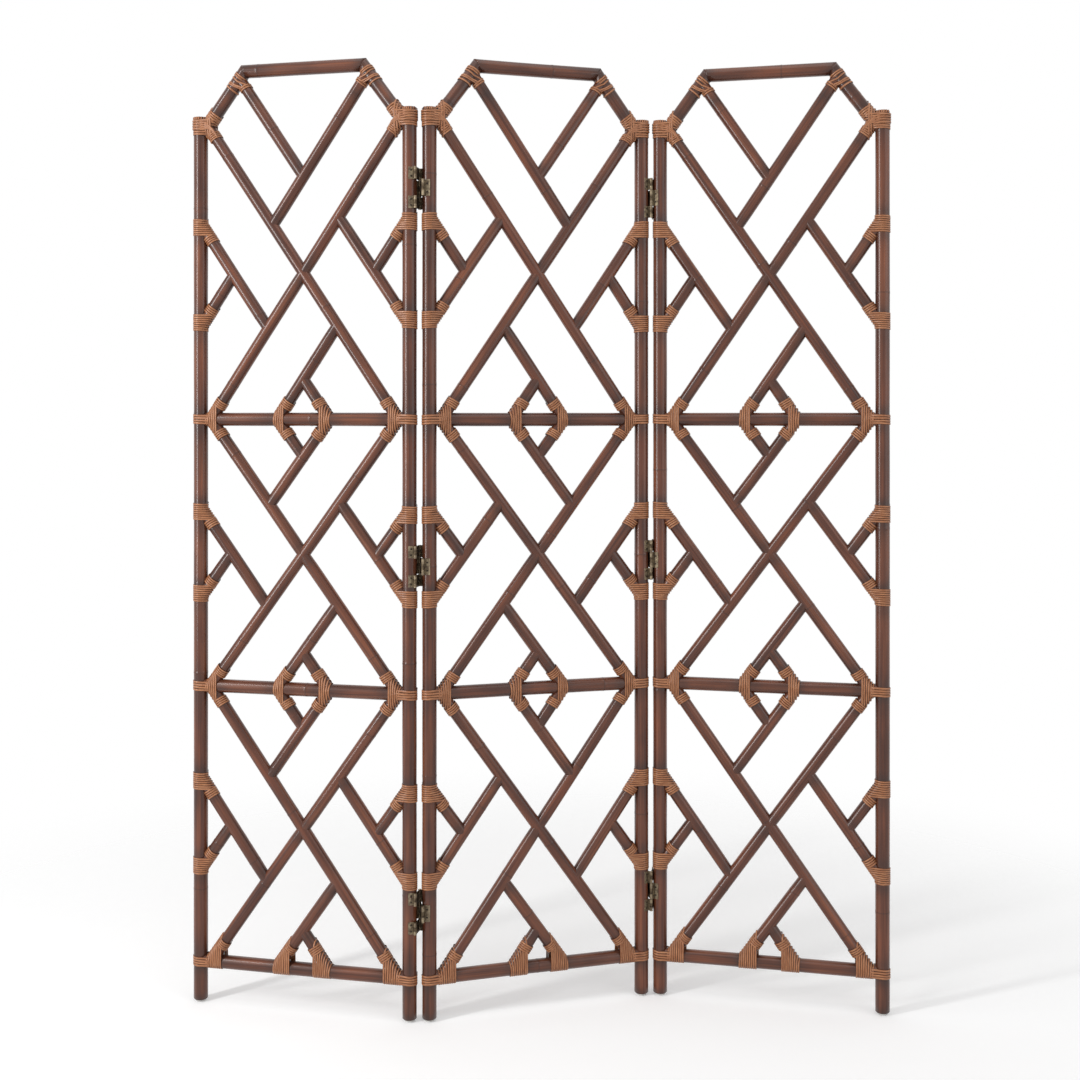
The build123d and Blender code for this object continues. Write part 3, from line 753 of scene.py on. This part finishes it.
def cane_material(streaks):
    material, tree, surface = shader("stained_rattan_lacquer")
    links = tree.links
    grain = tree.nodes.new("ShaderNodeAttribute")
    grain.attribute_name = "grain"
    stain = tree.nodes.new("ShaderNodeAttribute")
    stain.attribute_name = "stain"
    group = tree.nodes.new("ShaderNodeGroup")
    group.node_tree = streaks
    links.new(grain.outputs["Vector"], group.inputs["Grain"])
    broad = ramp_node(tree, ((0.28, (0.070, 0.022, 0.013)), (0.50, (0.136, 0.043, 0.021)),
                             (0.72, (0.215, 0.073, 0.034))))
    links.new(group.outputs["Broad"], broad.inputs["Fac"])
    blotch = ramp_node(tree, ((0.30, (0.62, 0.60, 0.62)), (0.55, (1.0, 1.0, 1.0)),
                              (0.75, (1.22, 1.12, 1.0))))
    links.new(group.outputs["Blotch"], blotch.inputs["Fac"])
    toned = mix_node(tree, "MULTIPLY")
    links.new(broad.outputs["Color"], toned.inputs["A"])
    links.new(blotch.outputs["Color"], toned.inputs["B"])
    fine = ramp_node(tree, ((0.35, (0.78, 0.76, 0.76)), (0.60, (1.08, 1.06, 1.05))))
    links.new(group.outputs["Fine"], fine.inputs["Fac"])
    fibre = mix_node(tree, "MULTIPLY")
    links.new(toned.outputs["Result"], fibre.inputs["A"])
    links.new(fine.outputs["Color"], fibre.inputs["B"])
    pooled = mix_node(tree)
    links.new(stain.outputs["Fac"], pooled.inputs["Factor"])
    links.new(fibre.outputs["Result"], pooled.inputs["A"])
    pooled.inputs["B"].default_value = (0.030, 0.015, 0.012, 1)
    links.new(pooled.outputs["Result"], surface.inputs["Base Color"])
    rough = tree.nodes.new("ShaderNodeMapRange")
    rough.inputs["To Min"].default_value = 0.25
    rough.inputs["To Max"].default_value = 0.33
    links.new(group.outputs["Broad"], rough.inputs["Value"])
    links.new(rough.outputs["Result"], surface.inputs["Roughness"])
    bump = tree.nodes.new("ShaderNodeBump")
    bump.inputs["Strength"].default_value = 0.06
    bump.inputs["Distance"].default_value = 0.0003
    links.new(group.outputs["Broad"], bump.inputs["Height"])
    links.new(bump.outputs["Normal"], surface.inputs["Normal"])
    surface.inputs["Specular IOR Level"].default_value = 0.25
    # The coat draws the narrow lights along the canes
    surface.inputs["Coat Weight"].default_value = 0.40
    surface.inputs["Coat Roughness"].default_value = 0.22
    return material


def peel_material():
    material, tree, surface = shader("rattan_peel_binding")
    links = tree.links
    strand = tree.nodes.new("ShaderNodeAttribute")
    strand.attribute_name = "strand"
    parts = tree.nodes.new("ShaderNodeSeparateXYZ")
    links.new(strand.outputs["Vector"], parts.inputs["Vector"])
    mapping = tree.nodes.new("ShaderNodeMapping")
    mapping.inputs["Scale"].default_value = (3.0, 60, 5)
    links.new(strand.outputs["Vector"], mapping.inputs["Vector"])
    fibre = noise_node(tree, 1.0, 3, 0.6)
    links.new(mapping.outputs["Vector"], fibre.inputs["Vector"])
    # From stained to pale fibre, and a few dark spots
    tone = ramp_node(tree, ((0.25, (0.165, 0.056, 0.023)), (0.46, (0.335, 0.128, 0.055)),
                            (0.60, (0.470, 0.210, 0.100)), (0.72, (0.600, 0.320, 0.175)),
                            (0.80, (0.100, 0.045, 0.025))))
    links.new(fibre.outputs["Fac"], tone.inputs["Fac"])
    # Darker at the edges of each strip: painted shade in the creases between the turns
    edge = math_node(tree, "ABSOLUTE")
    links.new(parts.outputs["X"], edge.inputs[0])
    painted_crease_shade = ramp_node(tree, ((0.50, (1, 1, 1)), (0.96, (0.24, 0.19, 0.16))))
    links.new(edge.outputs["Value"], painted_crease_shade.inputs["Fac"])
    shaded = mix_node(tree, "MULTIPLY")
    links.new(tone.outputs["Color"], shaded.inputs["A"])
    links.new(painted_crease_shade.outputs["Color"], shaded.inputs["B"])
    links.new(shaded.outputs["Result"], surface.inputs["Base Color"])
    surface.inputs["Roughness"].default_value = 0.34
    bump = tree.nodes.new("ShaderNodeBump")
    bump.inputs["Strength"].default_value = 0.25
    bump.inputs["Distance"].default_value = 0.0003
    links.new(fibre.outputs["Fac"], bump.inputs["Height"])
    links.new(bump.outputs["Normal"], surface.inputs["Normal"])
    surface.inputs["Specular IOR Level"].default_value = 0.40
    return material


def metal_material(name, dark, light, roughness, scale):
    material, tree, surface = shader(name)
    links = tree.links
    place = tree.nodes.new("ShaderNodeTexCoord")
    cloud = noise_node(tree, scale, 4, 0.6)
    links.new(place.outputs["Object"], cloud.inputs["Vector"])
    tone = ramp_node(tree, ((0.35, dark), (0.68, light)))
    links.new(cloud.outputs["Fac"], tone.inputs["Fac"])
    links.new(tone.outputs["Color"], surface.inputs["Base Color"])
    rough = tree.nodes.new("ShaderNodeMapRange")
    rough.inputs["To Min"].default_value = roughness + 0.14
    rough.inputs["To Max"].default_value = roughness - 0.08
    links.new(cloud.outputs["Fac"], rough.inputs["Value"])
    links.new(rough.outputs["Result"], surface.inputs["Roughness"])
    surface.inputs["Metallic"].default_value = 1.0
    return material


def glide_material():
    material, tree, surface = shader("pale_glide_plastic")
    links = tree.links
    place = tree.nodes.new("ShaderNodeTexCoord")
    cloud = noise_node(tree, 260, 3)
    links.new(place.outputs["Object"], cloud.inputs["Vector"])
    tone = ramp_node(tree, ((0.3, (0.56, 0.55, 0.53)), (0.7, (0.76, 0.75, 0.72))))
    links.new(cloud.outputs["Fac"], tone.inputs["Fac"])
    links.new(tone.outputs["Color"], surface.inputs["Base Color"])
    surface.inputs["Roughness"].default_value = 0.22
    surface.inputs["Coat Weight"].default_value = 0.4
    return material


def finish_with(item, material):
    item.data.materials.clear()
    item.data.materials.append(material)


streaks = streak_group()
lacquer = cane_material(streaks)
binding = peel_material()
aged_brass = metal_material("aged_brass", (0.120, 0.088, 0.062), (0.330, 0.270, 0.180), 0.52, 180)
# The hinge links are brass darkened far below the leaves: painted shade of the gap between the posts,
# where they sit
shade_darkened_links = metal_material("hinge_links_painted_shade", (0.045, 0.033, 0.024), (0.160, 0.120, 0.075), 0.50, 160)
pin_brass = metal_material("rubbed_pin_brass", (0.300, 0.230, 0.120), (0.620, 0.500, 0.290), 0.34, 240)
iron = metal_material("dark_nail_iron", (0.020, 0.016, 0.014), (0.075, 0.060, 0.050), 0.5, 400)
glide_plastic = glide_material()

for panel in places:
    canes, strips = build_panel(panel)
    for item in canes:
        finish_with(item, lacquer)
    for item in strips:
        finish_with(item, binding)
    for kind, metal in (("hinge_leaves", aged_brass), ("hinge_links", shade_darkened_links),
                        ("hinge_pins", pin_brass), ("hinge_nails", iron), ("frame_nails", iron),
                        ("glides", glide_plastic)):
        finish_with(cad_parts[panel + "_" + kind], metal)

# Floor, light and camera. The strengths are shares of the white behind the screen
FLOOR_GLOW = 0.24
WORLD_LIGHT = 0.56
FLOOR_RADIUS = 2.6
FADE_FROM, FADE_TO = 0.75, 2.0
CAMERA_PLACE = (-0.092, -2.810, 1.145)
CAMERA_TURN = -0.0343
CAMERA_LENS = 48.3
CAMERA_SHIFT = -0.1141


def pale_floor():
    bm = bmesh.new()
    bmesh.ops.create_circle(bm, cap_ends=True, segments=96, radius=FLOOR_RADIUS)
    mesh = bpy.data.meshes.new("studio_floor")
    bm.to_mesh(mesh)
    bm.free()
    floor = bpy.data.objects.new("studio_floor", mesh)
    bpy.context.scene.collection.objects.link(floor)
    material, tree, surface = shader("pale_studio_floor")
    links = tree.links
    surface.inputs["Base Color"].default_value = (0.86, 0.86, 0.86, 1)
    surface.inputs["Roughness"].default_value = 0.9
    surface.inputs["Specular IOR Level"].default_value = 0.1
    glow = tree.nodes.new("ShaderNodeEmission")
    path = tree.nodes.new("ShaderNodeLightPath")
    seen = math_node(tree, "MAXIMUM")
    links.new(path.outputs["Is Camera Ray"], seen.inputs[0])
    links.new(path.outputs["Is Glossy Ray"], seen.inputs[1])
    level = math_node(tree, "MULTIPLY", FLOOR_GLOW)
    links.new(seen.outputs["Value"], level.inputs[0])
    links.new(level.outputs["Value"], glow.inputs["Strength"])
    both = tree.nodes.new("ShaderNodeAddShader")
    links.new(surface.outputs["BSDF"], both.inputs[0])
    links.new(glow.outputs["Emission"], both.inputs[1])
    # The floor fades into the white round it
    place = tree.nodes.new("ShaderNodeTexCoord")
    far = tree.nodes.new("ShaderNodeVectorMath")
    far.operation = "LENGTH"
    links.new(place.outputs["Object"], far.inputs[0])
    fade = tree.nodes.new("ShaderNodeMapRange")
    fade.interpolation_type = "SMOOTHSTEP"
    fade.inputs["From Min"].default_value = FADE_FROM
    fade.inputs["From Max"].default_value = FADE_TO
    links.new(far.outputs["Value"], fade.inputs["Value"])
    clear = tree.nodes.new("ShaderNodeBsdfTransparent")
    blend = tree.nodes.new("ShaderNodeMixShader")
    links.new(fade.outputs["Result"], blend.inputs["Fac"])
    links.new(both.outputs["Shader"], blend.inputs[1])
    links.new(clear.outputs["BSDF"], blend.inputs[2])
    links.new(blend.outputs["Shader"], tree.nodes["Material Output"].inputs["Surface"])
    finish_with(floor, material)


def white_world():
    world = bpy.data.worlds.new("white_studio")
    bpy.context.scene.world = world
    world.use_nodes = True
    tree = world.node_tree
    back = tree.nodes["Background"]
    back.inputs["Color"].default_value = (1, 1, 1, 1)
    path = tree.nodes.new("ShaderNodeLightPath")
    seen = math_node(tree, "MAXIMUM")
    tree.links.new(path.outputs["Is Camera Ray"], seen.inputs[0])
    tree.links.new(path.outputs["Is Glossy Ray"], seen.inputs[1])
    white = math_node(tree, "MAXIMUM")
    tree.links.new(seen.outputs["Value"], white.inputs[0])
    tree.links.new(path.outputs["Is Transmission Ray"], white.inputs[1])
    rest = tree.nodes.new("ShaderNodeMapRange")
    rest.inputs["To Min"].default_value = WORLD_LIGHT
    rest.inputs["To Max"].default_value = 1.0
    tree.links.new(white.outputs["Value"], rest.inputs["Value"])
    tree.links.new(rest.outputs["Result"], back.inputs["Strength"])


def lamp(name, where, target, size, power):
    data = bpy.data.lights.new(name, "AREA")
    data.shape = "RECTANGLE"
    data.size, data.size_y = size
    data.energy = power
    item = bpy.data.objects.new(name, data)
    item.location = where
    item.rotation_euler = (Vector(target) - Vector(where)).to_track_quat("-Z", "Y").to_euler()
    bpy.context.scene.collection.objects.link(item)


pale_floor()
white_world()
lamp("key", (-2.75, -1.55, 1.7), (0, 0, 0.95), (0.26, 2.6), 66)
lamp("fill", (3.0, -2.0, 1.8), (0, 0, 0.9), (2.6, 2.6), 20)
lamp("overhead", (0, -0.8, 3.6), (0, 0, 0.9), (2.6, 1.8), 14)

camera_data = bpy.data.cameras.new("view")
camera_data.lens = CAMERA_LENS
camera_data.sensor_width = 36
camera_data.shift_y = CAMERA_SHIFT
camera = bpy.data.objects.new("view", camera_data)
camera.location = CAMERA_PLACE
camera.rotation_euler = (math.radians(90), 0, CAMERA_TURN)
bpy.context.scene.collection.objects.link(camera)
bpy.context.scene.camera = camera
bpy.context.scene.view_settings.view_transform = "Standard"
